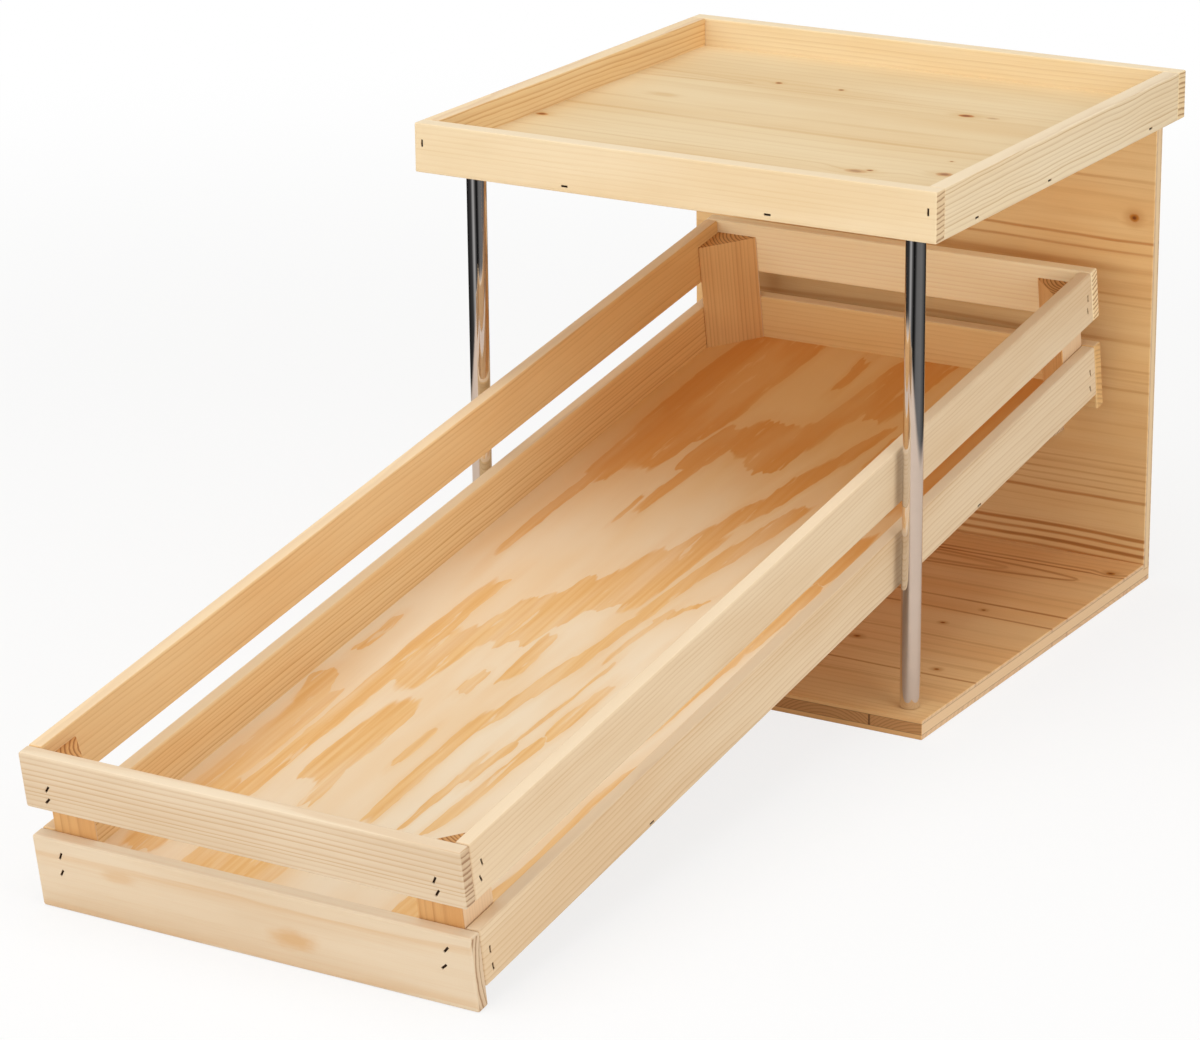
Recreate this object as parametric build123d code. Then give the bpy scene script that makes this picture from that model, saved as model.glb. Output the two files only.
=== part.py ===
from build123d import *
import math
import os

# A wooden counter stand that holds a long slatted fruit crate at a slope, with a
# shallow tray on top. Millimetres, +X across, +Y to the back, +Z up, table at Z = 0.
# The origin is the middle of the footprint of the whole piece, on the table.

# Stand
base_width = 436.0
base_depth = 428.0
base_thickness = 16.0
back_thickness = 12.0
back_rabbet = 5.0  # how deep the back board stands in the rear edge of the base
bay_height = 385.0  # base top to tray underside, which is the rods' length
board_ease = 0.8
rod_diameter = 16.0
rod_inset = 22.5  # rod axis from the base's side edge
rod_setback = 23.5  # rod axis from the base's front edge
rod_chamfer = 0.8

# Tray
tray_side_overhang = 12.0
tray_front_overhang = 12.0
tray_rear_overhang = 16.0
tray_floor_thickness = 16.0
rim_height = 40.0
rim_thickness = 14.0
rim_ease = 1.2

# Crate
crate_length = 1000.0
crate_rod_clearance = 4.5  # crate side to rod, on each side
crate_rear_height = 158.0  # rear bottom edge above the table
crate_back_gap = 13.5  # rear bottom edge to the back board
slat_thickness = 12.0
slat_width = 44.0
slat_gap = 23.0
slat_ease = 2.0
foot_drop = 14.0  # how far the end slats reach below the side slats
plywood_thickness = 6.0
post_leg = 38.0
post_top_gap = 11.0  # post top below the slats' top edges
post_ease = 0.8

# Cleat under the crate's rear end
cleat_inset = 42.0  # cleat end from the crate's side
cleat_height = 30.0
cleat_lip = 5.0  # how far the cleat reaches in front of the rear slat
seat_gap = 0.3

# Nails with narrow oblong heads, sunk a little below the wood
nail_wire = 1.8
nail_head_length = 6.0
nail_head_thickness = 1.4
nail_sink = 0.8
tray_nail_length = 36.0
corner_nail_height = 24.0  # above the rims' lower edges
edge_nail_height = 5.0
tray_end_nails = (-0.2, 0.19)  # along the front and rear rims, as shares of the width
tray_side_nails = (-0.35, -0.07, 0.35)  # along the side rims, as shares of the depth
crate_nail_length = 27.0
nail_inset = 10.0  # from the square corner of a corner post
nail_scatter = 2.0
nail_tilt = 55.0  # how far an end slat's nail heads lean, in degrees
side_nail_tilt = 10.0
tilt_scatter = 12.0
end_slat_nails = {"upper": (0.42, 0.2), "lower": (0.72, 0.4)}  # up a slat, as shares of its width
side_slat_nails = {"upper": (0.31, 0.56), "lower": (0.24, 0.56)}
bottom_nails = (0.236, 0.764)  # along the lower side slats, as shares of the crate's length

# Screws and dowels
rod_screw_diameter = 6.0
rod_screw_head = 12.0
rod_screw_length = 40.0
wood_screw_diameter = 4.0
wood_screw_head = 8.0
wood_screw_length = 40.0
screw_head_depth = 3.0
screw_cover = 3.0  # wood left past a screw's tip
hole_clearance = 0.1
hole_spare = 2.0  # free depth past the end of a screw or dowel
dowel_diameter = 6.0
dowel_length = 30.0
dowel_in_tray = 10.0
row_share = 0.36  # outer screw or dowel of a row of three, as a share of the row's width

# Worked out from the sizes above
past = 1.0  # how far a cut runs out of the wood
half_base = base_width / 2
half_tray = half_base + tray_side_overhang
tray_bottom = base_thickness + bay_height
tray_floor_top = tray_bottom + tray_floor_thickness
rabbet_floor = base_thickness - back_rabbet
rod_x = half_base - rod_inset
half_crate = rod_x - rod_diameter / 2 - crate_rod_clearance
half_inside = half_crate - slat_thickness
lower_top = foot_drop + slat_width
upper_bottom = lower_top + slat_gap
upper_top = upper_bottom + slat_width
plywood_top = foot_drop + plywood_thickness
slope = math.asin(crate_rear_height / crate_length)
slope_sin = math.sin(slope)
slope_cos = math.cos(slope)

# Places along Y. The crate's rear end fixes where its front end comes, and the
# middle of the whole footprint is Y = 0.
crate_front_from_rear = -back_thickness - crate_back_gap - crate_length * slope_cos
top_arris = slat_ease * slope_cos - (upper_top - slat_ease) * slope_sin - slat_ease
base_rear = -(crate_front_from_rear + top_arris + tray_rear_overhang) / 2
base_front = base_rear - base_depth
back_front = base_rear - back_thickness
back_middle = base_rear - back_thickness / 2
rod_y = base_front + rod_setback
tray_front = base_front - tray_front_overhang
tray_rear = base_rear + tray_rear_overhang
tray_middle = (tray_front + tray_rear) / 2

# The crate's own frame has x across, y along it from its front face and z up from
# its feet. The eased lower arris of its front slat just touches the table.
crate_front = base_rear + crate_front_from_rear
crate_lift = slat_ease * (1 - slope_sin - slope_cos)
crate_place = Location((0, crate_front, crate_lift), (math.degrees(slope), 0, 0))
hands = {"left": -1, "right": 1}


def block(x0, x1, y0, y1, z0, z1, ease=0.0):
    """A box between two corners, with every edge rounded by ease."""
    size = (x1 - x0, y1 - y0, z1 - z0)
    middle = ((x0 + x1) / 2, (y0 + y1) / 2, (z0 + z1) / 2)
    box = Pos(*middle) * Box(*size)
    if ease > 0:
        box = fillet(box.edges(), min(ease, 0.45 * min(size)))
    return box


def write(name, shape):
    export_step(shape, f"parts/{name}.step")


def write_group(name, shapes):
    write(name, Compound(shapes))


def cut(shape, tools):
    for tool in tools:
        shape -= tool
    return shape


# Places for fasteners. Each has its -Z axis pointing into the wood.
def from_above(x, y, z):
    return Pos(x, y, z)


def from_below(x, y, z):
    return Pos(x, y, z) * Rot(180, 0, 0)


def from_front(x, y, z):
    return Pos(x, y, z) * Rot(90, 0, 0)


def from_rear(x, y, z):
    return Pos(x, y, z) * Rot(-90, 0, 0)


def from_left(x, y, z):
    return Pos(x, y, z) * Rot(0, -90, 0)


def from_right(x, y, z):
    return Pos(x, y, z) * Rot(0, 90, 0)


def scatter(number):
    """A repeatable offset between -1 and 1, for nails driven by hand."""
    return ((number * 37) % 11 - 5) / 5


def nail(place, length, turn, hole=False):
    """A nail driven at place, its oblong head turned in the face by turn degrees."""
    head_top = past if hole else -nail_sink
    head_bottom = -nail_sink - nail_head_thickness
    head = Box(nail_head_length, nail_wire, head_top - head_bottom)
    shank = Box(nail_wire, nail_wire, length - nail_sink)
    body = Pos(0, 0, (head_top + head_bottom) / 2) * head
    body += Pos(0, 0, -(length + nail_sink) / 2) * shank
    return place * Rot(0, 0, turn) * body


def screw(place, diameter, head_diameter, length, hole=False):
    """A countersunk screw driven at place, its cross-slotted head flush with the face."""
    clearance = hole_clearance if hole else 0.0
    radius = diameter / 2 + clearance
    depth = length + (hole_spare if hole else 0.0)
    head = Cone(radius, head_diameter / 2 + clearance, screw_head_depth)
    body = Pos(0, 0, -depth / 2) * Cylinder(radius, depth)
    body += Pos(0, 0, -screw_head_depth / 2) * head
    if not hole:
        for turn in (0, 90):
            body -= Rot(0, 0, turn) * Box(head_diameter / 2, head_diameter / 10, screw_head_depth)
    return place * body


def holes(places, *sizes):
    return [screw(place, *sizes, hole=True) for place in places]


def screws(places, *sizes):
    return [screw(place, *sizes) for place in places]


def row_of_three(half_width):
    return [side * 2 * row_share * half_width for side in (-1, 0, 1)]


os.makedirs("parts", exist_ok=True)

# Screws of the stand
rod_screw = (rod_screw_diameter, rod_screw_head, rod_screw_length)
wood_screw = (wood_screw_diameter, wood_screw_head, wood_screw_length)
lower_rod_places = [from_below(side * rod_x, rod_y, 0) for side in hands.values()]
upper_rod_places = [from_above(side * rod_x, rod_y, tray_floor_top) for side in hands.values()]
foot_places = [from_below(x, back_middle, 0) for x in row_of_three(half_base)]
lower_rod_holes = holes(lower_rod_places, *rod_screw)
upper_rod_holes = holes(upper_rod_places, *rod_screw)
foot_holes = holes(foot_places, *wood_screw)
write_group("rod_screws_lower", screws(lower_rod_places, *rod_screw))
write_group("rod_screws_upper", screws(upper_rod_places, *rod_screw))
write_group("back_board_screws", screws(foot_places, *wood_screw))

# Dowels between the back board's top edge and the tray floor
dowel_z = tray_bottom + dowel_in_tray - dowel_length / 2
dowel_places = [Pos(x, back_middle, dowel_z) for x in row_of_three(half_base)]
dowel = Cylinder(dowel_diameter / 2, dowel_length)
dowel = chamfer(dowel.edges().filter_by(GeomType.CIRCLE), dowel_diameter / 8)
dowel_hole = Cylinder(dowel_diameter / 2 + hole_clearance, dowel_length + hole_spare)
dowel_holes = [place * dowel_hole for place in dowel_places]
write_group("back_board_dowels", [place * dowel for place in dowel_places])

# Base board, with a rabbet along its rear edge for the back board
base = block(-half_base, half_base, base_front, base_rear, 0, base_thickness, board_ease)
base -= block(
    -half_base - past, half_base + past, back_front, base_rear + past, rabbet_floor, base_thickness + past
)
write("base_board", cut(base, lower_rod_holes + foot_holes))


# Cleat, its top planed to the crate's slope
def crate_underside(y):
    return crate_lift + (y - crate_front) * slope_sin / slope_cos - seat_gap / slope_cos


crate_rear_bottom = back_front - crate_back_gap
cleat_front = crate_rear_bottom - slat_thickness - cleat_lip
cleat_top = crate_underside(cleat_front)
cleat_bottom = cleat_top - cleat_height
half_cleat = half_crate - cleat_inset
cleat_profile = Polyline(
    (-half_cleat, cleat_front, cleat_bottom),
    (-half_cleat, back_front, cleat_bottom),
    (-half_cleat, back_front, crate_underside(back_front)),
    (-half_cleat, cleat_front, cleat_top),
    close=True,
)
cleat = extrude(make_face(cleat_profile), amount=2 * half_cleat, dir=(1, 0, 0))
cleat_screw_length = min(wood_screw_length, base_rear - cleat_front - hole_spare - screw_cover)
cleat_screw = (wood_screw_diameter, wood_screw_head, cleat_screw_length)
cleat_middle = (cleat_bottom + cleat_top) / 2
cleat_places = [from_rear(x, base_rear, cleat_middle) for x in row_of_three(half_cleat)]
cleat_holes = holes(cleat_places, *cleat_screw)
write("rear_cleat", cut(cleat, cleat_holes))
write_group("cleat_screws", screws(cleat_places, *cleat_screw))

# Back board
back = block(-half_base, half_base, back_front, base_rear, rabbet_floor, tray_bottom, board_ease)
write("back_board", cut(back, foot_holes + dowel_holes + cleat_holes))

# Chrome rods, tapped at both ends
for name, side in hands.items():
    rod = Cylinder(rod_diameter / 2, bay_height)
    rod = chamfer(rod.edges().filter_by(GeomType.CIRCLE), rod_chamfer)
    rod = Pos(side * rod_x, rod_y, base_thickness + bay_height / 2) * rod
    write(f"rod_{name}", cut(rod, lower_rod_holes + upper_rod_holes))

# Tray nails. Corner nails hold the side rims and edge nails hold the floor.
corner_z = tray_bottom + corner_nail_height
edge_z = tray_bottom + edge_nail_height
tray_nails = {"front": [], "rear": [], "left": [], "right": []}
for end, face, y in (("front", from_front, tray_front), ("rear", from_rear, tray_rear)):
    for side in hands.values():
        corner_x = side * (half_tray - rim_thickness / 2)
        tray_nails[end].append((face(corner_x, y, corner_z), tray_nail_length, 90))
    for share in tray_end_nails:
        tray_nails[end].append((face(share * 2 * half_tray, y, edge_z), tray_nail_length, 0))
for hand, face in (("left", from_left), ("right", from_right)):
    for share in tray_side_nails:
        y = tray_middle + share * (tray_rear - tray_front)
        place = face(hands[hand] * half_tray, y, edge_z)
        tray_nails[hand].append((place, tray_nail_length, 90))
tray_nail_holes = []
for name, nails in tray_nails.items():
    tray_nail_holes += [nail(*one, hole=True) for one in nails]
    write_group(f"tray_nails_{name}", [nail(*one) for one in nails])

# Tray floor and rims. The front and rear rims cover the side rims' ends.
inner_x = half_tray - rim_thickness
inner_front = tray_front + rim_thickness
inner_rear = tray_rear - rim_thickness
floor = block(-inner_x, inner_x, inner_front, inner_rear, tray_bottom, tray_floor_top)
write("tray_floor", cut(floor, upper_rod_holes + dowel_holes + tray_nail_holes))
rims = {
    "front": (-half_tray, half_tray, tray_front, inner_front),
    "rear": (-half_tray, half_tray, inner_rear, tray_rear),
    "left": (-half_tray, -inner_x, inner_front, inner_rear),
    "right": (inner_x, half_tray, inner_front, inner_rear),
}
for name, sides in rims.items():
    rim = block(*sides, tray_bottom, tray_bottom + rim_height, rim_ease)
    write(f"tray_rim_{name}", cut(rim, tray_nail_holes))

# Crate nails, in the crate's own frame. Two hold each slat end to its corner post,
# and more through the lower side slats hold the plywood bottom.
slat_rows = {"upper": (upper_bottom, upper_top), "lower": (foot_drop, lower_top)}
crate_nails = {"front": [], "rear": [], "left": [], "right": []}
number = 0
for end, face, y in (("front", from_front, 0.0), ("rear", from_rear, crate_length)):
    for level, shares in end_slat_nails.items():
        for share in shares:
            for side in hands.values():
                number += 1
                x = side * (half_inside - nail_inset - nail_scatter * scatter(number))
                z = slat_rows[level][0] + share * slat_width
                turn = nail_tilt + tilt_scatter * scatter(number + 3)
                crate_nails[end].append((face(x, y, z), crate_nail_length, turn))
for hand, face in (("left", from_left), ("right", from_right)):
    x = hands[hand] * half_crate
    for level, shares in side_slat_nails.items():
        for share in shares:
            z = slat_rows[level][0] + share * slat_width
            for from_end in (True, False):
                number += 1
                y = slat_thickness + nail_inset + nail_scatter * scatter(number)
                turn = side_nail_tilt + tilt_scatter * scatter(number + 5)
                place = face(x, y if from_end else crate_length - y, z)
                crate_nails[hand].append((place, crate_nail_length, turn))
    for share in bottom_nails:
        place = face(x, share * crate_length, (foot_drop + plywood_top) / 2)
        crate_nails[hand].append((place, crate_nail_length, 90))
crate_nail_holes = []
for name, nails in crate_nails.items():
    crate_nail_holes += [nail(*one, hole=True) for one in nails]
    write_group(f"crate_nails_{name}", [crate_place * nail(*one) for one in nails])

# Crate slats. The end slats cover the side slats' ends, and the lower end slats
# reach down past the plywood as feet.
inside_front = slat_thickness
inside_rear = crate_length - slat_thickness
for level, (z0, z1) in slat_rows.items():
    end_z0 = 0.0 if level == "lower" else z0
    slats = {
        "front": (-half_crate, half_crate, 0.0, inside_front, end_z0, z1),
        "rear": (-half_crate, half_crate, inside_rear, crate_length, end_z0, z1),
        "left": (-half_crate, -half_inside, inside_front, inside_rear, z0, z1),
        "right": (half_inside, half_crate, inside_front, inside_rear, z0, z1),
    }
    for name, sides in slats.items():
        slat = cut(block(*sides, slat_ease), crate_nail_holes)
        write(f"crate_{level}_slat_{name}", crate_place * slat)

# Plywood bottom between the slats, flush with the side slats' lower edges
bottom = block(-half_inside, half_inside, inside_front, inside_rear, foot_drop, plywood_top)
write("crate_bottom", crate_place * cut(bottom, crate_nail_holes))

# Triangular corner posts, which stand on the plywood
post_height = upper_top - post_top_gap - plywood_top
for end, y, toward in (("front", inside_front, 1), ("rear", inside_rear, -1)):
    for hand, side in hands.items():
        corner = (side * half_inside, y)
        across = (side * (half_inside - post_leg), y)
        along = (side * half_inside, y + toward * post_leg)
        triangle = make_face(Polyline(corner, across, along, close=True))
        post = extrude(Pos(0, 0, plywood_top) * triangle, amount=post_height, dir=(0, 0, 1))
        post = fillet(post.edges().filter_by(Axis.Z), post_ease)
        write(f"crate_post_{end}_{hand}", crate_place * cut(post, crate_nail_holes))
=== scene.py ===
import math

import bmesh
import bpy
from mathutils import Matrix, Vector


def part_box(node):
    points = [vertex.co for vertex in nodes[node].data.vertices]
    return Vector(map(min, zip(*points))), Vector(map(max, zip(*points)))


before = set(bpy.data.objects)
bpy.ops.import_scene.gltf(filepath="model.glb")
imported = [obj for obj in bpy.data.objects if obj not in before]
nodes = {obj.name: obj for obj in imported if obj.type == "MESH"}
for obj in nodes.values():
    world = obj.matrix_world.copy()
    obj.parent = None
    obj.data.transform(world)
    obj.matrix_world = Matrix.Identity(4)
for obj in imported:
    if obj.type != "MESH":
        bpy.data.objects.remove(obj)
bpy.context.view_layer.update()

scene = bpy.context.scene
scene.view_settings.view_transform = "Standard"

X = Vector((1, 0, 0))
Y = Vector((0, 1, 0))
Z = Vector((0, 0, 1))

# The crate's own axes follow from its length and from how high its rear end lies, in metres.
CRATE_LENGTH = 1.0
CRATE_RISE = 0.158
SLOPE = math.asin(CRATE_RISE / CRATE_LENGTH)
CRATE_ALONG = Vector((0, math.cos(SLOPE), math.sin(SLOPE)))
CRATE_UP = Vector((0, -math.sin(SLOPE), math.cos(SLOPE)))

# Sockets of the node that mixes two colours
MIX_FACTOR = 0
MIX_A = 6
MIX_B = 7
MIX_RESULT = 2


class Nodes:
    """One procedural material. Values may be numbers or sockets of other nodes."""

    def __init__(self, name):
        self.material = bpy.data.materials.new(name)
        self.material.use_nodes = True
        self.tree = self.material.node_tree
        self.shader = next(n for n in self.tree.nodes if n.type == "BSDF_PRINCIPLED")

    def put(self, value, socket):
        if isinstance(value, bpy.types.NodeSocket):
            self.tree.links.new(value, socket)
        else:
            socket.default_value = value

    def node(self, kind, inputs=(), **settings):
        node = self.tree.nodes.new(kind)
        for name, value in settings.items():
            setattr(node, name, value)
        for socket, value in zip(node.inputs, inputs):
            if value is not None:
                self.put(value, socket)
        return node

    def math(self, operation, a, b=0.0, c=0.0):
        return self.node("ShaderNodeMath", (a, b, c), operation=operation).outputs[0]

    def add(self, a, b):
        return self.math("ADD", a, b)

    def times(self, a, b):
        return self.math("MULTIPLY", a, b)

    def absolute(self, a):
        return self.math("ABSOLUTE", a)

    def vector(self, operation, a, b=None):
        node = self.node("ShaderNodeVectorMath", (a, b), operation=operation)
        scalar = operation in ("LENGTH", "DOT_PRODUCT")
        return node.outputs[1 if scalar else 0]

    def mapping(self, vector, location=(0, 0, 0), rotation=(0, 0, 0), scale=(1, 1, 1), kind="POINT"):
        node = self.node("ShaderNodeMapping", (vector, location, rotation, scale), vector_type=kind)
        return node.outputs[0]

    def split(self, vector):
        return self.node("ShaderNodeSeparateXYZ", (vector,)).outputs

    def join(self, x, y, z):
        return self.node("ShaderNodeCombineXYZ", (x, y, z)).outputs[0]

    def noise(self, vector, stretch=(1, 1, 1), detail=2.0, roughness=0.5):
        """Noise between 0 and 1, about 0.5, with stretch in features per metre."""
        vector = self.vector("MULTIPLY", vector, stretch)
        node = self.node("ShaderNodeTexNoise")
        self.put(vector, node.inputs["Vector"])
        node.inputs["Scale"].default_value = 1.0
        node.inputs["Detail"].default_value = detail
        node.inputs["Roughness"].default_value = roughness
        return node.outputs[0]

    def swing(self, vector, stretch, size, detail=2.0, roughness=0.5):
        """Noise about 0, between -size and size."""
        noise = self.noise(vector, stretch, detail, roughness)
        return self.times(self.add(noise, -0.5), 2 * size)

    def smooth(self, value, low, high, to_low=0.0, to_high=1.0):
        """A smooth step from to_low, below low, to to_high, above high."""
        node = self.node("ShaderNodeMapRange", interpolation_type="SMOOTHSTEP")
        for name, number in (
            ("Value", value),
            ("From Min", low),
            ("From Max", high),
            ("To Min", to_low),
            ("To Max", to_high),
        ):
            self.put(number, node.inputs[name])
        return node.outputs[0]

    def ramp(self, value, stops):
        """Greys between stops, each a place from 0 to 1 and a grey."""
        node = self.node("ShaderNodeValToRGB", (value,))
        ramp = node.color_ramp
        while len(ramp.elements) < len(stops):
            ramp.elements.new(0.5)
        for element, (place, grey) in zip(ramp.elements, stops):
            element.position = place
            element.color = (grey, grey, grey, 1)
        return node.outputs[0]

    def mix(self, factor, a, b, blend="MIX"):
        node = self.node("ShaderNodeMix", data_type="RGBA", blend_type=blend)
        self.put(factor, node.inputs[MIX_FACTOR])
        self.put(a, node.inputs[MIX_A])
        self.put(b, node.inputs[MIX_B])
        return node.outputs[MIX_RESULT]

    def tint(self, look, shade):
        """The look multiplied by a shade."""
        return self.mix(1.0, look, shade, "MULTIPLY")

    def random(self, value):
        node = self.node("ShaderNodeTexWhiteNoise", noise_dimensions="1D")
        self.put(value, node.inputs["W"])
        return node.outputs[0]

    def bump(self, height, distance, strength):
        node = self.node("ShaderNodeBump")
        node.inputs["Strength"].default_value = strength
        node.inputs["Distance"].default_value = distance
        self.put(height, node.inputs["Height"])
        self.put(node.outputs[0], self.shader.inputs["Normal"])

    def emission(self, shade):
        return self.node("ShaderNodeEmission", (shade, 1.0)).outputs[0]

    def mix_shaders(self, factor, a, b):
        return self.node("ShaderNodeMixShader", (factor, a, b)).outputs[0]


def colour(red, green, blue):
    """A colour written as it looks on screen, 0 to 255."""
    screen_gamma = 2.2
    return tuple((c / 255) ** screen_gamma for c in (red, green, blue)) + (1.0,)


def scaled(shade, factors):
    """A colour whose red, green and blue are each multiplied."""
    return tuple(a * b for a, b in zip(shade[:3], factors)) + (1.0,)


def local(m, along, across, centre):
    """Coordinates with x along the grain, y across the face and z through it."""
    rows = Matrix((along, across, along.cross(across)))
    source = m.node("ShaderNodeTexCoord")
    place = m.mapping(source.outputs["Object"], -(rows @ Vector(centre)), rows.to_euler())
    normal = m.mapping(source.outputs["Normal"], rotation=rows.to_euler())
    return place, normal


def dress(name, material):
    for slot in nodes[name].material_slots:
        slot.material = material


def middle(name):
    low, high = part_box(name)
    return (low + high) / 2


# Swings of the noise in pine: features per metre along the grain, across it and through it, and
# the size of the swing, in radii of a knot or stain, in years or, for the glue, in metres
KNOT_EDGE = ((160, 160, 160), 0.25)
STAIN_EDGE = ((60, 160, 160), 0.5)
RING_EDGE = ((5, 160, 160), 0.16)
RING_SPACING = ((45, 1, 1), 1.3)
GLUE_EDGE = ((60, 60, 60), 0.0002)

# Waves in the grain. Each piece has its own height of the long ones.
LONG_WAVES = (2.5, 5, 5)
SHORT_WAVES = (14, 30, 30)
SHORT_WAVE_SHARE = 0.16

# Noise that colours pine: features per metre, detail and roughness
FIBRES = ((22, 1100, 1100), 3, 0.6)
STREAKS = ((5, 260, 260), 2, 0.5)
TONES = ((3, 14, 14), 3, 0.55)
LINE_WEAR = ((9, 30, 30), 2, 0.5)
SEED_SHIFT = (1.37, 0.71, 0.43)  # metres of noise for each step of the seed

# Darkness through one year, from the pale early wood to the dark late wood
YEAR = ((0.0, 0.75), (0.07, 0.03), (0.45, 0.08), (0.72, 0.34), (0.94, 1.0), (1.0, 0.75))
WEAKEST_YEAR = 0.35
YEAR_SPREAD = 0.75

# What fibres and streaks add to the darkness and to the relief
FIBRE_DARK = 0.38
STREAK_DARK = 0.30
FIBRE_RELIEF = 0.7
STREAK_RELIEF = 0.5

# Late wood deepens past this darkness, up to the darkest that is drawn.
DEEP_START = 0.9
DARKEST = 1.6
LATE_DEEP = (0.72, 0.72, 0.72)
TONE_FADE = (0.35, 0.75, 0.0, 0.4)

# Knots and stains, in radii
THROUGH = 1e3  # metres that they reach through the board, which is all of it
KNOT_BEND = (0.6, 4.5)  # where the grain is most bent, and where it is straight again
KNOT_PUSH = 1.5
STAIN_FADE = (0.3, 1.4)

# Layers of a knot: radii where each is full and where it ends, its share of the knot's darkness,
# and its colour, which is the late wood's where none is given
KNOT_LAYERS = (
    (0.9, 3.2, 0.55, None),
    (0.7, 1.2, 1.0, colour(186, 116, 46)),
    (0.2, 0.75, 0.85, colour(106, 50, 8)),
)

# A drawn line is full up to this share of its half width, and it is worn in places.
LINE_FULL = 0.2
WORN = (0.3, 0.6, 0.55, 1.0)
TIP_FADE = (0.002, 0.004)  # metres before and past an arch's tip
# Painted shade on the left slats: they darken and warm towards their rear ends, under the tray
PAINTED_REAR_SHADE = (-0.02, 0.40)  # metres along from the middle, where it begins and is full

# Shares of a face's normal that count as looking along an axis
END_FACING = (0.75, 0.95)
CORE_END_FACING = (0.7, 0.9)
EDGE_FACING = (0.3, 0.6)

END_RINGS = (0.08, 0.45)
END_TINT = (0.92, 0.86, 0.80, 1.0)
END_BROWN = (0.42, 0.28, 0.20)
# Painted light: faces that look up are paled towards this colour, as if lit more from above
TOP_PAINTED_LIGHT = colour(246, 228, 200)
TOP_PAINTED_LIGHT_SHARE = 0.45
WOOD_GLOSS = 0.3
SOLID_ROUGHNESS = 0.57
SOLID_RELIEF_ROUGHER = 0.08
END_ROUGHER = 0.12
SOLID_BUMP = (0.0006, 0.35)  # metres and strength
BOARD_ROUGHNESS = 0.55
BOARD_RELIEF_ROUGHER = 0.1
BOARD_BUMP = (0.0004, 0.3)

BOARD_PITH = (0.03, -0.16)
BOARD_END_RINGS = 0.35
BOARD_END_PALE = colour(226, 202, 172)
BOARD_END_SHARE = 0.5
CORE_PITH = (0.0, -0.05)
CORE_RING = 0.0026
CORE_WAVE = 0.002
CORE_BOLD = 0.5
CORE_PALER = 0.6
CORE_END_TINT = (0.74, 0.63, 0.55, 1.0)
CORE_SEED_STEP = 3
STRIP_SEED_STEP = 0.5
STRIP_SHIFT = 0.012
STRIP_ALONG = 3.0  # metres of log that the strips are spread over
STRIP_ACROSS = 0.1  # metres across the log, from the start that follows
STRIP_ACROSS_START = -0.02
SEAM_DARK = colour(70, 42, 26)
SEAM_FADE = (0.486, 0.496, 0.0, 0.75)
GLUE_DARK = colour(110, 72, 44)
GLUE_BLUR = 0.0002
GLUE_FADE = (0.00015, 0.0005, 0.45, 0.0)


def oval(m, place, x, y, radius, length):
    """Distance from the middle of an oval on the face, 1 at its edge."""
    near = m.mapping(place, (x, y, 0), scale=(radius * length, radius, THROUGH), kind="TEXTURE")
    return m.vector("LENGTH", near)


def bend_grain(m, place, shifted, wave, knots):
    """Place across the face, bent by waves and knots, with each knot's distance and darkness."""
    y = m.split(place)[1]
    y = m.add(y, m.swing(shifted, LONG_WAVES, wave))
    y = m.add(y, m.swing(shifted, SHORT_WAVES, wave * SHORT_WAVE_SHARE))
    marks = []
    for knot_x, knot_y, radius, length, dark in knots:
        near = m.add(oval(m, place, knot_x, knot_y, radius, length), m.swing(shifted, *KNOT_EDGE))
        push = m.smooth(near, *KNOT_BEND, 1.0, 0.0)
        y = m.add(y, m.times(push, radius * KNOT_PUSH))
        marks.append((near, dark))
    return y, marks


def year_rings(m, y, z, shifted, seed, pith, ring):
    """Darkness of the rings about the pith, some years darker than others."""
    across = m.add(y, -pith[0])
    depth = m.add(z, -pith[1])
    distance = m.math("SQRT", m.add(m.times(across, across), m.times(depth, depth)))
    turns = m.times(distance, 1 / ring)
    turns = m.add(turns, m.swing(shifted, *RING_EDGE))
    # Years differ, so the rings lie closer in some places than in others.
    years = m.join(m.add(distance, seed), 0.0, 0.0)
    turns = m.add(turns, m.swing(years, *RING_SPACING))
    season = m.ramp(m.math("FRACT", turns), YEAR)
    chance = m.random(m.add(m.math("FLOOR", turns), seed))
    return m.times(season, m.add(m.times(chance, YEAR_SPREAD), WEAKEST_YEAR))


def line_darkness(m, gap, half_width, strength):
    """Full near the middle of a line and gone at its half width."""
    return m.smooth(gap, half_width * LINE_FULL, half_width, strength, 0.0)


def draw_grain(m, dark, x, y, shifted, lines, arches):
    """Darkness with the lines and arches that one board shows."""
    worn = m.smooth(m.noise(shifted, *LINE_WEAR), *WORN)
    for at, half_width, strength in lines:
        gap = m.absolute(m.add(y, -at))
        dark = m.add(dark, m.times(line_darkness(m, gap, half_width, strength), worn))
    for tip, at, curve, half_width, strength in arches:
        from_tip = m.times(m.add(m.times(x, -1.0), tip), curve)
        open_by = m.math("SQRT", m.math("MAXIMUM", from_tip, 0.0))
        gap = m.absolute(m.add(m.absolute(m.add(y, -at)), m.times(open_by, -1.0)))
        behind = m.smooth(x, tip - TIP_FADE[0], tip + TIP_FADE[1], 1.0, 0.0)
        dark = m.add(dark, m.times(line_darkness(m, gap, half_width, strength), behind))
    return dark


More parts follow.
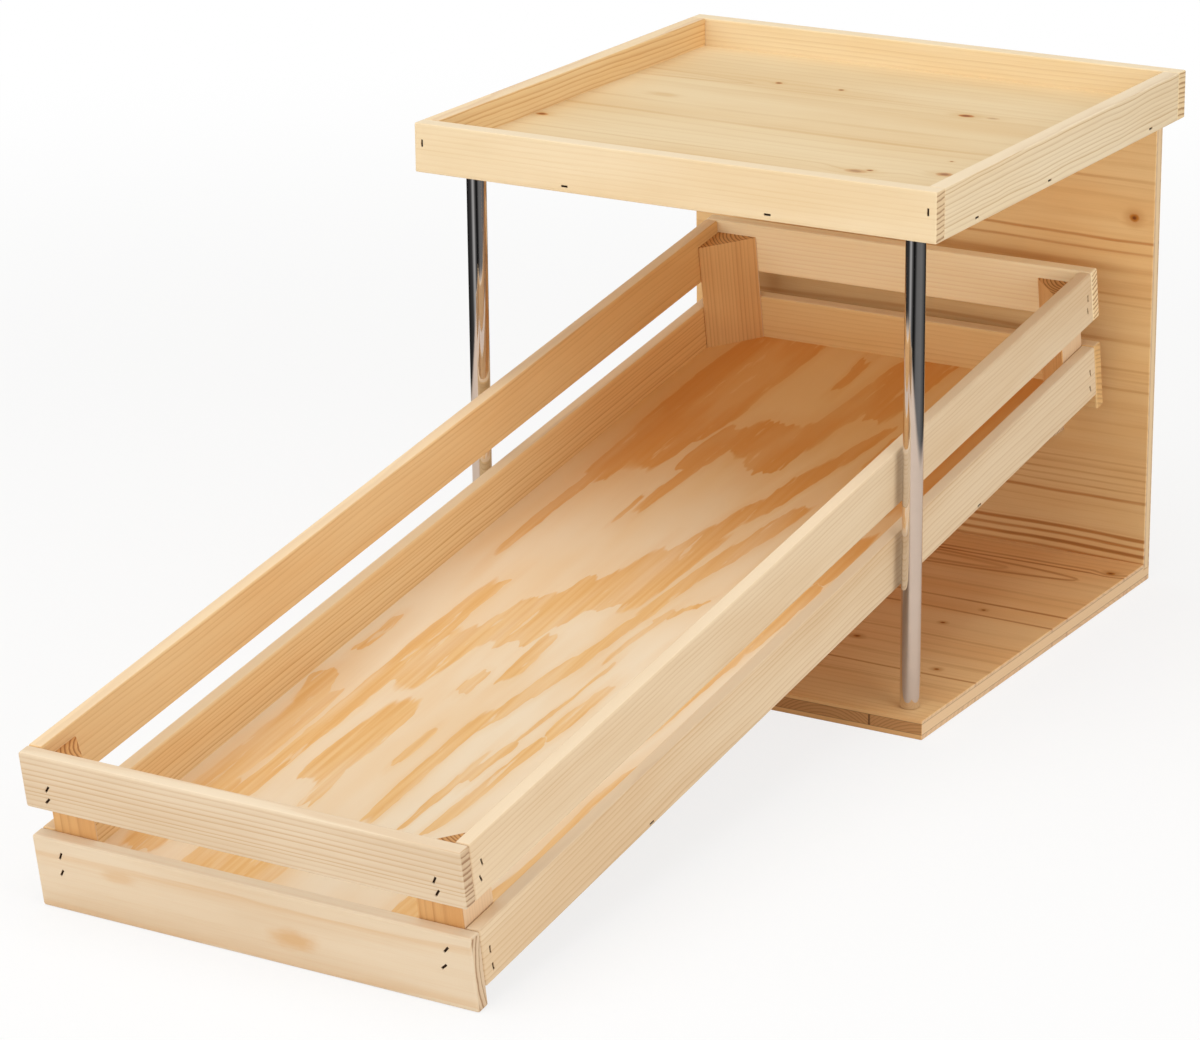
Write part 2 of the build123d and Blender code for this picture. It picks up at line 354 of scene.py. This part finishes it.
def pine(m, place, seed, pith, ring, wave, wood, bold=1.0, knots=(), stains=(), lines=(), arches=(),
         rear=None):
    """Pine cut from a log whose pith runs along x at pith. Returns colour, relief and rings."""
    early, late = wood
    shifted = m.vector("ADD", place, tuple(seed * shift for shift in SEED_SHIFT))
    x, _, z = m.split(place)
    y, marks = bend_grain(m, place, shifted, wave, knots)
    rings = year_rings(m, y, z, shifted, seed, pith, ring)
    fibre = m.noise(shifted, *FIBRES)
    streak = m.noise(shifted, *STREAKS)
    tone = m.noise(shifted, *TONES)
    dark = m.times(rings, bold)
    dark = m.add(dark, m.times(m.add(fibre, -0.5), FIBRE_DARK))
    dark = m.add(dark, m.times(m.add(streak, -0.5), STREAK_DARK))
    dark = draw_grain(m, dark, x, y, shifted, lines, arches)
    dark = m.math("MINIMUM", m.math("MAXIMUM", dark, 0.0), DARKEST)
    look = m.mix(dark, early, late)
    look = m.mix(m.smooth(dark, DEEP_START, DARKEST), look, scaled(late, LATE_DEEP))
    look = m.mix(m.smooth(tone, *TONE_FADE), look, m.tint(look, early))
    for near, amount in marks:
        for full, gone, share, shade in KNOT_LAYERS:
            look = m.mix(m.smooth(near, full, gone, share * amount, 0.0), look, shade or late)
    for stain_x, stain_y, radius, length, amount in stains:
        near = m.add(oval(m, place, stain_x, stain_y, radius, length), m.swing(shifted, *STAIN_EDGE))
        look = m.mix(m.smooth(near, *STAIN_FADE, amount, 0.0), look, late)
    # Painted shade: the rear tint darkens and warms the look towards the rear end
    if rear:
        look = m.mix(m.smooth(x, *PAINTED_REAR_SHADE), look, m.tint(look, rear))
    relief = m.add(m.times(streak, STREAK_RELIEF), m.times(fibre, FIBRE_RELIEF))
    return look, relief, rings


def end_grain(m, look, rings, wood, bold):
    """Cut ends show the same rings, but darker and redder."""
    brown = scaled(wood[0], END_BROWN)
    return m.mix(m.smooth(rings, *END_RINGS, 0.0, bold), m.tint(look, END_TINT), brown)


def facing(m, normal, axis, low, high):
    """1 where a face looks along the axis, either way."""
    return m.smooth(m.absolute(m.split(normal)[axis]), low, high)


def finish_wood(m, look, roughness, relief, depth, strength):
    m.put(look, m.shader.inputs["Base Color"])
    m.put(roughness, m.shader.inputs["Roughness"])
    m.shader.inputs["Specular IOR Level"].default_value = WOOD_GLOSS
    m.bump(relief, depth, strength)


def solid_wood(name, along, across, seed, pith, ring, wave, wood, end_bold=0.8, **more):
    """A board of solid pine, darker and rougher at its ends, with painted light that makes its top edge
    paler.
    """
    m = Nodes("wood_" + name)
    place, normal = local(m, along, across, middle(name))
    look, relief, rings = pine(m, place, seed, pith, ring, wave, wood, **more)
    end = facing(m, normal, 0, *END_FACING)
    look = m.mix(end, look, end_grain(m, look, rings, wood, end_bold))
    # Painted light on the faces that look up
    top = m.smooth(m.split(normal)[1], *END_FACING, 0.0, TOP_PAINTED_LIGHT_SHARE)
    look = m.mix(top, look, TOP_PAINTED_LIGHT)
    roughness = m.add(m.times(relief, SOLID_RELIEF_ROUGHER), SOLID_ROUGHNESS)
    roughness = m.add(m.times(end, END_ROUGHER), roughness)
    finish_wood(m, look, roughness, relief, *SOLID_BUMP)
    dress(name, m.material)


def core_wood(m, place, normal, seed, strip, wood):
    """A board's core: strips side by side along x, each from another part of a log."""
    x, y, z = m.split(place)
    strip_at = m.times(m.add(x, STRIP_SHIFT), 1 / strip)
    chance = m.random(m.add(m.math("FLOOR", strip_at), seed + STRIP_SEED_STEP))
    from_middle = m.add(m.math("FRACT", strip_at), -0.5)
    along = m.add(y, m.times(chance, STRIP_ALONG))
    start = m.add(m.times(chance, STRIP_ACROSS), STRIP_ACROSS_START)
    core = m.join(along, m.add(m.times(from_middle, strip), start), z)
    seed = seed + CORE_SEED_STEP
    look, _, rings = pine(m, core, seed, CORE_PITH, CORE_RING, CORE_WAVE, wood, bold=CORE_BOLD)
    look = m.mix(CORE_PALER, look, wood[0])
    end = end_grain(m, m.tint(look, CORE_END_TINT), rings, wood, CORE_BOLD)
    look = m.mix(facing(m, normal, 1, *CORE_END_FACING), look, end)
    return m.mix(m.smooth(m.absolute(from_middle), *SEAM_FADE), look, SEAM_DARK)


def layered_wood(name, along, across, seed, ring, wave, wood, core, strip, **more):
    """Three-layer board: face layers with the grain along x, and a core across them.
    The core is given by the height of its middle and half its thickness."""
    m = Nodes("board_" + name)
    place, normal = local(m, along, across, middle(name))
    core_middle, core_half = core
    look, relief, rings = pine(m, place, seed, BOARD_PITH, ring, wave, wood, **more)
    core_look = core_wood(m, place, normal, seed, strip, wood)
    height = m.split(place)[2]
    off_middle = m.add(m.absolute(m.add(height, -core_middle)), m.swing(place, *GLUE_EDGE))
    in_core = m.smooth(off_middle, core_half - GLUE_BLUR, core_half + GLUE_BLUR, 1.0, 0.0)
    glue = m.smooth(m.absolute(m.add(off_middle, -core_half)), *GLUE_FADE)
    edge = m.smooth(m.absolute(m.split(normal)[2]), *EDGE_FACING, 1.0, 0.0)
    end = facing(m, normal, 0, *END_FACING)
    look = m.mix(end, look, end_grain(m, look, rings, wood, BOARD_END_RINGS))
    look = m.mix(m.times(in_core, edge), look, core_look)
    look = m.mix(m.times(end, BOARD_END_SHARE), look, BOARD_END_PALE)
    look = m.mix(m.times(glue, edge), look, GLUE_DARK)
    roughness = m.add(m.times(relief, BOARD_RELIEF_ROUGHER), BOARD_ROUGHNESS)
    finish_wood(m, look, roughness, relief, *BOARD_BUMP)
    dress(name, m.material)


# Early and late wood of each kind of board
WOODS = {
    "base": (colour(238, 195, 139), colour(188, 127, 73)),
    "back": (colour(237, 200, 144), colour(196, 136, 78)),
    "tray": (colour(234, 210, 168), colour(214, 178, 124)),
    "front rim": (colour(235, 215, 180), colour(220, 190, 142)),
    "rear rim": (colour(243, 222, 182), colour(220, 190, 142)),
    "left rim": (colour(242, 212, 162), colour(204, 150, 92)),
    "right rim": (colour(236, 216, 182), colour(204, 172, 128)),
    "plain slat": (colour(222, 202, 174), colour(200, 164, 124)),
    "lower front slat": (colour(222, 202, 174), colour(206, 160, 106)),
    "upper rear slat": (colour(250, 230, 190), colour(228, 192, 142)),
    # The lower rear and the left slats are warmer than the others: partly their own wood, partly painted
    # bounce light and shade from inside the crate
    "lower rear slat": (colour(232, 196, 140), colour(206, 160, 106)),
    "right slat": (colour(228, 204, 170), colour(201, 164, 121)),
    "upper left slat": (colour(236, 202, 152), colour(206, 160, 106)),
    "lower left slat": (colour(240, 210, 162), colour(206, 160, 106)),
    "post": (colour(221, 175, 118), colour(174, 116, 64)),
    "dowel": (colour(214, 178, 130), colour(190, 148, 100)),
}

# Places on a board are in metres from its middle. A knot or stain is (x, y, radius, length over
# width, darkness), a line is (y, half width, darkness) and an arch is (x of its tip, y, curve,
# half width, darkness).
layered_wood(
    "base_board", X, Y, 11, ring=0.0060, wave=0.008, wood=WOODS["base"], core=(0.00075, 0.0045),
    strip=0.092, bold=0.28,
    knots=(
        (0.086, -0.070, 0.0028, 1.2, 1.0), (0.133, -0.008, 0.0019, 1.2, 1.0),
        (0.149, 0.035, 0.0018, 1.2, 1.0), (0.203, 0.168, 0.0034, 1.2, 1.0),
        (0.177, -0.107, 0.0022, 1.2, 1.0), (0.081, -0.113, 0.0013, 1.2, 1.0),
    ),
    lines=(
        (-0.146, 0.0040, 0.35), (-0.122, 0.0025, 0.7), (-0.094, 0.0035, 0.4), (-0.039, 0.0030, 0.5),
        (0.023, 0.0026, 0.9), (0.051, 0.0026, 1.0), (0.086, 0.0040, 0.3), (0.160, 0.0026, 1.1),
        (0.167, 0.0030, 0.8), (0.204, 0.0040, 0.9),
    ),
    arches=((0.185, 0.138, 0.0019, 0.0035, 0.7), (0.120, 0.138, 0.0012, 0.0045, 0.4)),
)
layered_wood(
    "back_board", X, Z, 23, ring=0.0060, wave=0.007, wood=WOODS["back"], core=(0.0, 0.0035),
    strip=0.085, bold=0.25,
    knots=((0.200, 0.112, 0.0036, 1.2, 1.0),),
    lines=(
        (0.144, 0.0020, 0.5), (0.093, 0.0020, 1.0), (0.083, 0.0018, 0.6), (0.068, 0.0050, 0.5),
        (0.045, 0.0016, 0.5), (0.037, 0.0016, 0.4), (0.005, 0.0022, 0.4), (-0.020, 0.0016, 0.5),
        (-0.029, 0.0016, 0.4), (-0.037, 0.0016, 0.5), (-0.104, 0.0013, 0.5), (-0.110, 0.0013, 0.5),
        (-0.116, 0.0013, 0.6), (-0.122, 0.0013, 0.6), (-0.128, 0.0013, 0.7), (-0.136, 0.0022, 1.0),
        (-0.169, 0.0026, 1.2), (-0.176, 0.0022, 1.0), (-0.183, 0.0026, 1.2), (-0.190, 0.0022, 1.0),
    ),
)
layered_wood(
    "tray_floor", X, Y, 5, ring=0.0070, wave=0.012, wood=WOODS["tray"], core=(0.0, 0.0045),
    strip=0.1, bold=0.35,
    knots=(
        (-0.091, 0.118, 0.0029, 1.1, 1.0), (-0.033, 0.120, 0.0022, 1.1, 1.0),
        (0.099, 0.087, 0.0042, 1.7, 1.0), (0.122, 0.089, 0.0030, 2.4, 0.3),
        (-0.209, -0.070, 0.0038, 1.5, 0.9), (0.104, -0.116, 0.0060, 1.6, 0.45),
        (0.113, -0.109, 0.0022, 1.3, 0.8), (0.169, -0.093, 0.0055, 1.3, 0.65),
        (0.156, -0.054, 0.0014, 1.2, 0.8),
    ),
    stains=((-0.156, 0.036, 0.0080, 2.2, 0.6),),
    lines=((-0.020, 0.0050, 0.35), (0.018, 0.0050, 0.3), (-0.104, 0.0030, 0.25), (0.104, 0.0040, 0.3)),
    arches=((-0.110, 0.105, 0.0012, 0.0030, 0.35),),
)

# Solid pieces: name, axes along and across the grain, seed, pith from the middle of the piece,
# width of a year, height of the waves, wood, and how bold the rings are
PIECES = [
    ("tray_rim_front", X, Z, 2, (0.10, 0.01), 0.0042, 0.003, "front rim", 0.45),
    ("tray_rim_rear", X, Z, 7, (-0.12, 0.01), 0.0042, 0.004, "rear rim", 0.5),
    ("tray_rim_left", Y, Z, 9, (0.11, 0.02), 0.0044, 0.012, "left rim", 0.8),
    ("tray_rim_right", Y, Z, 13, (0.13, -0.02), 0.0038, 0.012, "right rim", 1.0),
    ("rear_cleat", X, Z, 31, (0.05, 0.03), 0.003, 0.003, "plain slat", 1.0),
    ("back_board_dowels", Z, X, 91, (0.02, 0.02), 0.0012, 0.001, "dowel", 1.0),
    ("crate_upper_slat_front", X, CRATE_UP, 41, (0.14, -0.01), 0.0040, 0.002, "plain slat", 0.8),
    ("crate_lower_slat_front", X, CRATE_UP, 43, (-0.005, -0.09), 0.0050, 0.012, "lower front slat", 0.35),
    ("crate_upper_slat_rear", X, CRATE_UP, 47, (0.12, 0.03), 0.0042, 0.004, "upper rear slat", 0.4),
    ("crate_lower_slat_rear", X, CRATE_UP, 53, (-0.10, 0.04), 0.0042, 0.008, "lower rear slat", 0.4),
    ("crate_upper_slat_right", CRATE_ALONG, CRATE_UP, 59, (0.15, 0.02), 0.0040, 0.010, "right slat", 0.5),
    ("crate_lower_slat_right", CRATE_ALONG, CRATE_UP, 61, (-0.13, 0.02), 0.0044, 0.010, "right slat", 0.6),
    ("crate_upper_slat_left", CRATE_ALONG, CRATE_UP, 67, (0.14, 0.03), 0.0044, 0.006, "upper left slat", 0.6),
    ("crate_lower_slat_left", CRATE_ALONG, CRATE_UP, 71, (0.12, 0.02), 0.0038, 0.004, "lower left slat", 1.0),
]
for first_seed, end in ((73, "front"), (77, "rear")):
    for step, hand in enumerate(("left", "right")):
        name = f"crate_post_{end}_{hand}"
        PIECES.append((name, CRATE_UP, X, first_seed + step, (0.02, 0.03), 0.0032, 0.004, "post", 0.5))

# What only some pieces have: stains, weaker rings on the ends, or painted shade that darkens and warms them
# towards the rear
SPECIAL = {
    "crate_lower_slat_front": {
        "stains": ((0.035, -0.006, 0.0085, 2.4, 0.7), (-0.11, 0.010, 0.005, 3.0, 0.4)),
    },
    "crate_lower_slat_rear": {"end_bold": 0.3},
    # Painted shade that darkens and warms the left slats towards the rear
    "crate_upper_slat_left": {"rear": (0.90, 0.78, 0.60, 1.0)},
    "crate_lower_slat_left": {"rear": (0.92, 0.78, 0.60, 1.0)},
}
for name, along, across, seed, pith, ring, wave, wood, bold in PIECES:
    special = SPECIAL.get(name, {})
    solid_wood(name, along, across, seed, pith, ring, wave, WOODS[wood], bold=bold, **special)

# Warm patches of the peeled plywood. Each is (along, across, half length, half
# width, tilt in degrees) in millimetres: along from the crate's front end, and across from the
# left edge of its bottom.
PATCHES = (
    (195, 26, 125, 15, 1), (120, 28, 60, 20, 0), (305, 20, 36, 12, -14), (240, 55, 110, 9, 0),
    (400, 57, 112, 9, 1), (385, 76, 56, 20, 8), (500, 62, 18, 4, 0), (255, 95, 62, 16, 3),
    (190, 103, 32, 7, -6), (75, 108, 30, 40, 0), (460, 108, 46, 18, 10), (485, 128, 62, 20, 10),
    (405, 146, 40, 6, 0), (550, 160, 58, 22, 16), (575, 176, 70, 14, 6), (640, 178, 70, 10, 10),
    (730, 200, 70, 9, 10), (800, 216, 60, 7, 9), (245, 162, 90, 7, 1), (365, 177, 70, 8, 9),
    (455, 190, 75, 6, 7), (560, 201, 70, 7, 8), (640, 216, 70, 10, 10), (215, 193, 62, 3, 2),
    (262, 203, 28, 5, 8), (350, 209, 70, 2, 3), (465, 209, 50, 3, 5), (518, 220, 30, 3, 26),
    (230, 218, 75, 6, 4), (350, 226, 45, 6, 4), (260, 137, 26, 3, 0), (365, 128, 18, 5, 0),
    (400, 14, 28, 4, 0), (640, 32, 90, 5, 0), (850, 34, 160, 14, 0), (870, 62, 150, 22, 1),
    (900, 84, 110, 12, 2), (705, 104, 56, 6, 2), (780, 104, 44, 14, 6), (800, 138, 38, 30, 0),
    (800, 166, 56, 12, 3), (905, 180, 100, 13, 5), (950, 208, 80, 16, 5), (944, 146, 32, 6, -4),
    (660, 92, 22, 3, 0), (120, 260, 110, 12, 2), (330, 268, 120, 9, 3), (390, 290, 90, 7, 3),
    (530, 298, 60, 6, 3), (640, 300, 50, 8, 0), (700, 262, 140, 10, 5), (880, 252, 110, 13, 3),
    (870, 300, 150, 16, 2), (560, 252, 90, 5, 6), (190, 310, 120, 10, 2), (640, 326, 160, 6, 1),
)
BOTTOM_HALF_WIDTH = 0.171
MILLIMETRES = 1000  # in a metre
FAR = 100.0  # radii, farther than any patch
NO_SHARE = 1e-9  # too small to show

# Swings of the patches' edges: features per metre along the grain and across it, size in metres
# and, for the short waves, detail and roughness
PLY_LONG_WAVES = ((7, 26, 1), 0.007)
PLY_SHORT_WAVES = ((26, 150, 1), 0.0030, 2, 0.6)
PLY_FINGERS = ((9, 70, 1), 0.030)
PLY_RAGGED = ((30, 300, 1), 0.005)

# Noise in the plywood: features per metre, detail and roughness
PLY_SOFTNESS = ((9, 40, 1), 2, 0.5)
PLY_FADING = ((6, 34, 1), 2, 0.5)
PLY_ISLANDS = ((13, 120, 1), 3, 0.6)
PLY_TONES = ((4, 18, 1), 2, 0.5)
PLY_FIBRES = ((26, 1300, 1), 3, 0.6)
PLY_STREAKS = ((7, 240, 1), 2, 0.5)

# What noise becomes: a low and a high value of it, and what stands there, 0 and 1 if not given
PLY_EDGE_WIDTH = (0.4, 0.65, 0.02, 0.16)
PLY_FADED = (0.3, 0.6, 0.6, 1.0)
PLY_PALE_ISLANDS = (0.60, 0.68, 1.0, 0.45)
PLY_TONE_SPREAD = (0.35, 0.7)
PLY_STREAK_SPREAD = (0.3, 0.7)
PLY_GRAIN_SPREAD = (0.0, 0.5, 0.0, 0.25)

PLY_FIBRE_GRAIN = 0.4
PLY_STREAK_GRAIN = 0.15
PLY_ROUGHNESS = 0.5
PLY_FIBRE_ROUGHER = 0.15
PLY_RELIEF = 0.6
PLY_WASH =(1.0, 1.9, 0.20, 0.0)  # a faint halo round each patch
# Painted shade: the plywood turns darker and warmer towards the rear, where the tray shades it
PLY_PALE_PAINTED_SHADE_SPAN = (-0.05, 0.4, 0.0, 0.85)  # along from the middle, in metres, and its share
PLY_WARM_PAINTED_SHADE_SPAN = (-0.05, 0.3, 0.0, 0.85)
PLY_PALE = colour(238, 221, 194)
PLY_PALE_TONE = colour(234, 206, 168)
PLY_PALE_PAINTED_SHADE = colour(229, 180, 114)
PLY_WARM = colour(233, 193, 136)
PLY_WARM_STREAK = colour(226, 176, 112)
PLY_WARM_PAINTED_SHADE = colour(214, 142, 66)
PLY_FIBRE = colour(196, 142, 88)


def nearest_patch(m, length, side):
    """Distance from the nearest patch, 1 at its edge."""
    nearest = m.add(m.times(side, NO_SHARE), FAR)
    for along, across, half_length, half_width, tilt in PATCHES:
        at_along = along / MILLIMETRES - CRATE_LENGTH / 2
        at = Vector((at_along, BOTTOM_HALF_WIDTH - across / MILLIMETRES))
        lean = math.radians(-tilt)
        one = Vector((math.cos(lean), math.sin(lean))) / (half_length / MILLIMETRES)
        two = Vector((-math.sin(lean), math.cos(lean))) / (half_width / MILLIMETRES)
        # One patch waits for the last one, so that only a few values are held at a time.
        point = m.join(length, side, m.math("MULTIPLY_ADD", nearest, NO_SHARE, 1.0))
        near_along = m.vector("DOT_PRODUCT", point, (one.x, one.y, -one.dot(at)))
        near_across = m.vector("DOT_PRODUCT", point, (two.x, two.y, -two.dot(at)))
        near = m.join(near_along, near_across, 0.0)
        near = m.vector("LENGTH", m.vector("MULTIPLY", near, near))
        nearest = m.math("MINIMUM", nearest, near)
    return m.math("SQRT", nearest)


def plywood():
    """Peeled softwood: warm patches with wavy edges on pale wood, both made darker and warmer at the rear by
    painted shade.
    """
    m = Nodes("peeled_plywood")
    place, _ = local(m, CRATE_ALONG, -X, middle("crate_bottom"))
    u, v, _ = m.split(place)
    flat = m.join(u, v, 0.0)
    side = m.add(v, m.swing(flat, *PLY_LONG_WAVES))
    side = m.add(side, m.swing(flat, *PLY_SHORT_WAVES))
    length = m.add(u, m.swing(flat, *PLY_FINGERS))
    length = m.add(length, m.swing(flat, *PLY_RAGGED))
    nearest = nearest_patch(m, length, side)
    soft = m.smooth(m.noise(flat, *PLY_SOFTNESS), *PLY_EDGE_WIDTH)
    patch = m.smooth(nearest, m.math("SUBTRACT", 1.0, soft), m.add(soft, 1.0), 1.0, 0.0)
    patch = m.times(patch, m.smooth(m.noise(flat, *PLY_FADING), *PLY_FADED))
    patch = m.times(patch, m.smooth(m.noise(flat, *PLY_ISLANDS), *PLY_PALE_ISLANDS))
    wash = m.smooth(nearest, *PLY_WASH)
    fibre = m.noise(flat, *PLY_FIBRES)
    streak = m.noise(flat, *PLY_STREAKS)
    pale = m.mix(m.smooth(m.noise(flat, *PLY_TONES), *PLY_TONE_SPREAD), PLY_PALE, PLY_PALE_TONE)
    # Painted shade towards the rear, for the pale wood and for the patches
    pale = m.mix(m.smooth(u, *PLY_PALE_PAINTED_SHADE_SPAN), pale, PLY_PALE_PAINTED_SHADE)
    warm = m.mix(m.smooth(streak, *PLY_STREAK_SPREAD), PLY_WARM, PLY_WARM_STREAK)
    warm = m.mix(m.smooth(u, *PLY_WARM_PAINTED_SHADE_SPAN), warm, PLY_WARM_PAINTED_SHADE)
    look = m.mix(m.math("MAXIMUM", patch, wash), pale, warm)
    fibre_grain = m.times(m.add(fibre, -0.5), PLY_FIBRE_GRAIN)
    streak_grain = m.times(m.add(streak, -0.5), PLY_STREAK_GRAIN)
    look = m.mix(m.smooth(m.add(fibre_grain, streak_grain), *PLY_GRAIN_SPREAD), look, PLY_FIBRE)
    roughness = m.add(m.times(fibre, PLY_FIBRE_ROUGHER), PLY_ROUGHNESS)
    finish_wood(m, look, roughness, m.times(fibre, PLY_RELIEF), *BOARD_BUMP)
    dress("crate_bottom", m.material)


plywood()


METAL_NOISE = (3, 0.6)  # detail and roughness
METAL_DULL = (0.88, 0.88, 0.88)
METAL_SMOOTHEST = 0.75  # shares of the metal's roughness: the least, and what wear adds to it
METAL_WEAR_ROUGHER = 0.5


def metal(name, tint, roughness, scratches):
    """Metal with fine wear, where scratches is in features per metre."""
    m = Nodes(name)
    place = m.node("ShaderNodeTexCoord").outputs["Object"]
    wear = m.noise(place, (scratches, scratches, scratches), *METAL_NOISE)
    m.put(m.mix(wear, scaled(tint, METAL_DULL), tint), m.shader.inputs["Base Color"])
    m.shader.inputs["Metallic"].default_value = 1.0
    rougher = m.times(wear, roughness * METAL_WEAR_ROUGHER)
    m.put(m.add(rougher, roughness * METAL_SMOOTHEST), m.shader.inputs["Roughness"])
    return m.material


chrome = metal("polished_chrome", colour(236, 232, 230), 0.035, 60)
# The nail heads are dull dark steel, darkened further as painted shade of the holes they sit in
nail_steel = metal("dull_nail_steel", colour(66, 54, 46), 0.55, 900)
zinc = metal("zinc_plated_steel", colour(196, 192, 178), 0.3, 700)
for name in nodes:
    if "nails" in name:
        dress(name, nail_steel)
    elif "screws" in name:
        dress(name, zinc)
    elif name.startswith("rod_"):
        dress(name, chrome)

# Camera at the photograph's place, in metres, radians and millimetres of lens
POSITION = Vector((1.62647, -2.74404, 1.25540))
YAW = 0.54096
PITCH = 0.32846
ROLL = -0.01095
LENS = 131.2
SENSOR = 36
FARTHEST = 100

forward = Vector((-math.sin(YAW), math.cos(YAW), 0))
level = Vector((math.cos(YAW), math.sin(YAW), 0))
view = forward * math.cos(PITCH) - Z * math.sin(PITCH)
over = Z * math.cos(PITCH) + forward * math.sin(PITCH)
right = level * math.cos(ROLL) + over * math.sin(ROLL)
up = over * math.cos(ROLL) - level * math.sin(ROLL)
camera = bpy.data.objects.new("camera", bpy.data.cameras.new("camera"))
scene.collection.objects.link(camera)
camera.matrix_world = Matrix.Translation(POSITION) @ Matrix((right, up, -view)).transposed().to_4x4()
camera.data.lens = LENS
camera.data.sensor_width = SENSOR
camera.data.clip_end = FARTHEST
scene.camera = camera

WHITE = (1, 1, 1, 1)
FILL_TINT = (1.0, 0.985, 0.96, 1)
FILL_STRENGTH = 0.47


def studio_world():
    """A soft warm fill on the object, and white where camera, glossy and transmission rays look."""
    world = bpy.data.worlds.new("studio")
    scene.world = world
    world.use_nodes = True
    tree = world.node_tree
    fill = tree.nodes["Background"]
    fill.inputs["Color"].default_value = FILL_TINT
    fill.inputs["Strength"].default_value = FILL_STRENGTH
    white = tree.nodes.new("ShaderNodeBackground")
    white.inputs["Color"].default_value = WHITE
    white.inputs["Strength"].default_value = 1.0
    rays = tree.nodes.new("ShaderNodeLightPath").outputs
    seen = rays["Is Camera Ray"]
    for name in ("Is Glossy Ray", "Is Transmission Ray"):
        either = tree.nodes.new("ShaderNodeMath")
        either.operation = "MAXIMUM"
        tree.links.new(seen, either.inputs[0])
        tree.links.new(rays[name], either.inputs[1])
        seen = either.outputs[0]
    mix = tree.nodes.new("ShaderNodeMixShader")
    tree.links.new(seen, mix.inputs[0])
    tree.links.new(fill.outputs[0], mix.inputs[1])
    tree.links.new(white.outputs[0], mix.inputs[2])
    tree.links.new(mix.outputs[0], tree.nodes["World Output"].inputs[0])


studio_world()

# Lamps: name, place, width and height in metres, watts and tint. All point at the stand.
LAMPS = (
    ("front", (-1.2, -3.1, 1.0), (3.0, 1.8), 41.5, (1.0, 0.985, 0.965)),
    ("top", (-0.2, -0.6, 3.2), (3.0, 3.0), 49, (1.0, 0.99, 0.97)),
    ("side", (3.2, -0.9, 1.0), (2.2, 1.8), 40, (1.0, 0.99, 0.98)),
)
LAMP_TARGET = Vector((0, 0, 0.15))
for name, place, size, watts, tint in LAMPS:
    data = bpy.data.lights.new(name, "AREA")
    data.shape = "RECTANGLE"
    data.size, data.size_y = size
    data.energy = watts
    data.color = tint
    lamp = bpy.data.objects.new(name, data)
    scene.collection.objects.link(lamp)
    lamp.location = place
    lamp.rotation_euler = (LAMP_TARGET - Vector(place)).to_track_quat("-Z", "Y").to_euler()
    lamp.visible_glossy = False

FLOOR_SIZE = 6
FLOOR_SQUARES = 8
FLOOR_GAP = 0.0002  # below the object, so that the two faces don't fight
PAPER_ROUGHNESS = 0.9
PAPER_GLOSS = 0.1
PAPER = (0.9, 0.9, 0.9, 1)
PAPER_IN_METAL = (0.72, 0.60, 0.51, 1)
TABLE_EDGE = (0.86, 0.96)  # metres from the middle, where mirror rays pass from table to studio
WHITE_REACH = (0.9, 2.4)  # metres over which the floor turns to pure white for the camera
WHITE_SHARE = (0.78, 1.0)

# Greys of the dark studio round the table, by bearing from -X through -Y, +X and +Y
STUDIO = (
    (0.0, 0.02), (0.12, 0.05), (0.195, 0.45), (0.25, 0.10), (0.30, 0.004), (0.345, 0.02),
    (0.40, 0.15), (0.52, 0.17), (0.60, 0.09), (0.66, 0.01), (0.80, 0.02), (1.0, 0.02),
)


def white_paper():
    """The floor's paper: white for the camera far out, and a table in a dark studio for metal."""
    m = Nodes("white_paper")
    m.shader.inputs["Roughness"].default_value = PAPER_ROUGHNESS
    m.shader.inputs["Specular IOR Level"].default_value = PAPER_GLOSS
    x, y, _ = m.split(m.node("ShaderNodeTexCoord").outputs["Object"])
    reach = m.math("SQRT", m.add(m.times(x, x), m.times(y, y)))
    bearing = m.add(m.times(m.math("ARCTAN2", y, x), 0.5 / math.pi), 0.5)
    rays = m.node("ShaderNodeLightPath").outputs
    m.put(m.mix(rays["Is Glossy Ray"], PAPER, PAPER_IN_METAL), m.shader.inputs["Base Color"])
    bright = m.times(rays["Is Camera Ray"], m.smooth(reach, *WHITE_REACH, *WHITE_SHARE))
    sheet = m.mix_shaders(bright, m.shader.outputs[0], m.emission(WHITE))
    beyond = m.times(rays["Is Glossy Ray"], m.smooth(reach, *TABLE_EDGE))
    both = m.mix_shaders(beyond, sheet, m.emission(m.ramp(bearing, STUDIO)))
    output = next(n for n in m.tree.nodes if n.type == "OUTPUT_MATERIAL")
    m.put(both, output.inputs[0])
    return m.material


floor_mesh = bpy.data.meshes.new("floor")
shape = bmesh.new()
bmesh.ops.create_grid(shape, x_segments=FLOOR_SQUARES, y_segments=FLOOR_SQUARES, size=FLOOR_SIZE)
shape.to_mesh(floor_mesh)
shape.free()
floor_mesh.materials.append(white_paper())
floor = bpy.data.objects.new("floor", floor_mesh)
scene.collection.objects.link(floor)
floor.location = (0, 0, -FLOOR_GAP)
